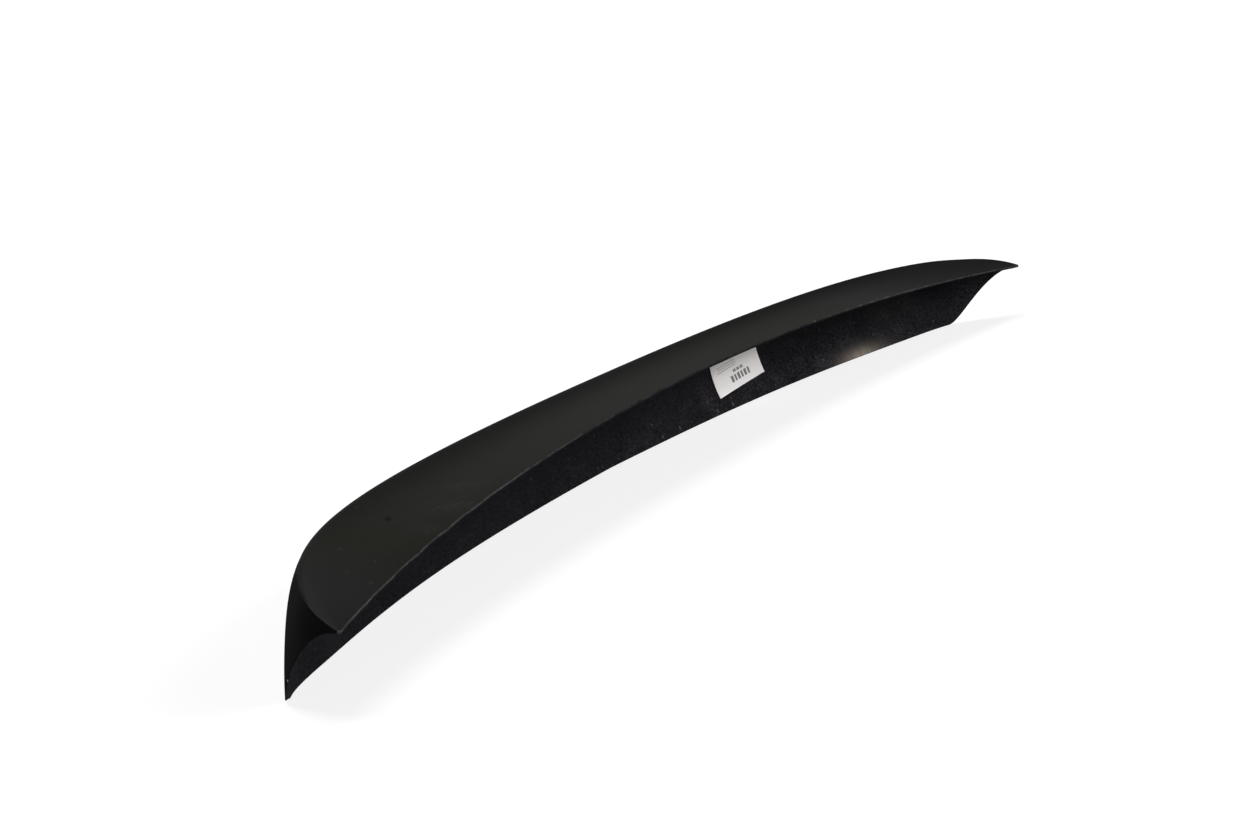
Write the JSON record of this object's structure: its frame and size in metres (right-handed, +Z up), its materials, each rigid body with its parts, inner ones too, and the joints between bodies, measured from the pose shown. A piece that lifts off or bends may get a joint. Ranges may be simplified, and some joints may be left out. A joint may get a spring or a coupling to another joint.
{
  "type": "car boot-lid spoiler",
  "caption": "Long curved lip spoiler for a car's boot lid: one thin formed plastic shell, hollow underneath, with pointed ends and a paper label inside its rear wall.",
  "frame": {"origin": "middle of the lower edge's face, on the car's centre line, in the plane the shell stands on", "axes": "+X across the car, +Y to the rear of the car, +Z up, square to the plane of the lower edge"},
  "size_m": [1.251, 0.1433, 0.0662],
  "materials": {
    "formed_plastic": "satin black plastic, fine grain outside and smooth with dust inside",
    "label_paper": "matt printed paper"
  },
  "bodies": {
    "root": {"spoiler_shell": "formed_plastic", "paper_label": "label_paper"}
  },
  "joints": []
}
